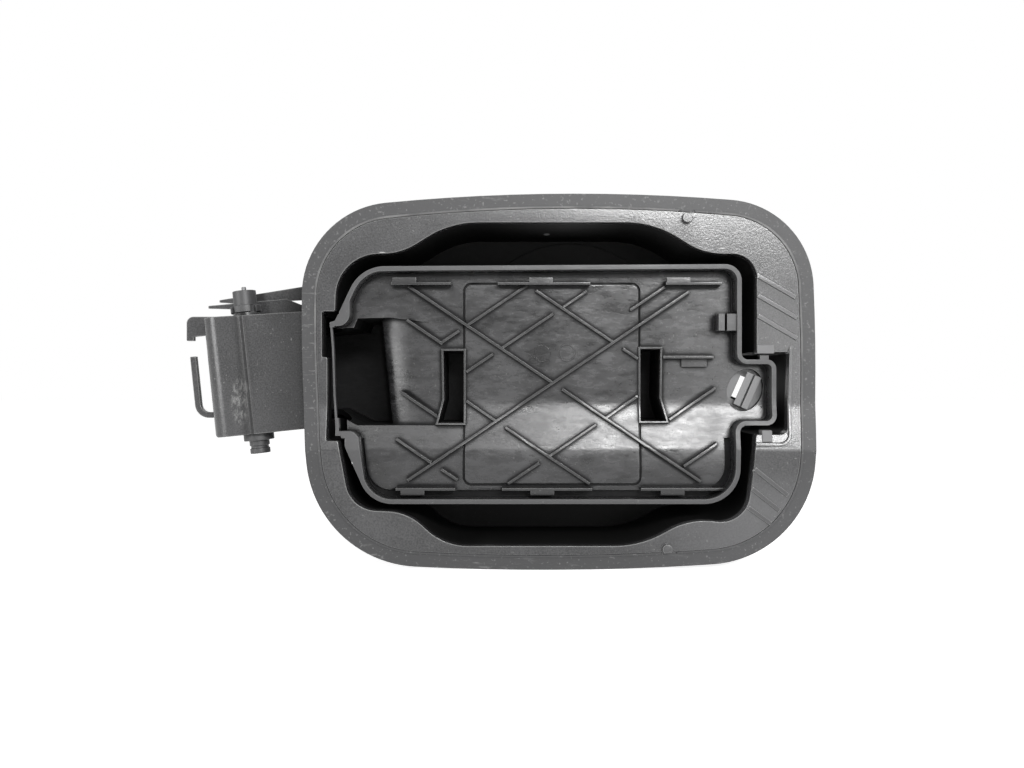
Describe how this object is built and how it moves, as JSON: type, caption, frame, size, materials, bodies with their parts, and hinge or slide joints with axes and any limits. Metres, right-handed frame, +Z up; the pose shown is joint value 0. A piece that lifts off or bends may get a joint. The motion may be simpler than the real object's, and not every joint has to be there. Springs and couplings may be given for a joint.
{
  "type": "car fuel door module",
  "caption": "Fuel filler housing with a soft-lipped curved flange, and a ribbed door carrier that swings out on a gooseneck hinge; the outer skin clips onto the carrier",
  "frame": {"origin": "middle of the flange, on its outer face", "axes": "+X towards the latch, +Y into the car, +Z up, so -Y faces out of the car's side"},
  "size_m": [0.2728, 0.075, 0.1585],
  "materials": {
    "housing_plastic": "fine grained black polypropylene with a soft sheen",
    "soft_lip": "matt black thermoplastic rubber, dusty and lightly scuffed",
    "seal_rubber": "matt black rubber",
    "pin_steel": "dark plated steel",
    "bush_plastic": "dark grey moulded plastic",
    "spring_steel": "bright spring steel",
    "buffer_rubber": "matt dark rubber",
    "carrier_plastic": "satin black moulded plastic with flow marks",
    "striker_plastic": "dark grey moulded plastic"
  },
  "bodies": {
    "filler_body": {"housing": "housing_plastic", "flange_lip": "soft_lip", "neck_seal": "seal_rubber", "hinge_pin": "pin_steel", "hinge_bush_upper": "bush_plastic", "hinge_bush_lower": "bush_plastic", "hold_open_spring": "spring_steel", "stop_buffer_upper": "buffer_rubber", "stop_buffer_lower": "buffer_rubber"},
    "door": {"door_carrier": "carrier_plastic", "latch_striker": "striker_plastic"}
  },
  "joints": [
    {"name": "door_hinge", "type": "hinge", "parent": "filler_body", "child": "door", "pos_m": [-0.1331, 0.018, 0.003], "axis": [0.1028, 0, -0.9947], "range_deg": [0, 90]}
  ]
}
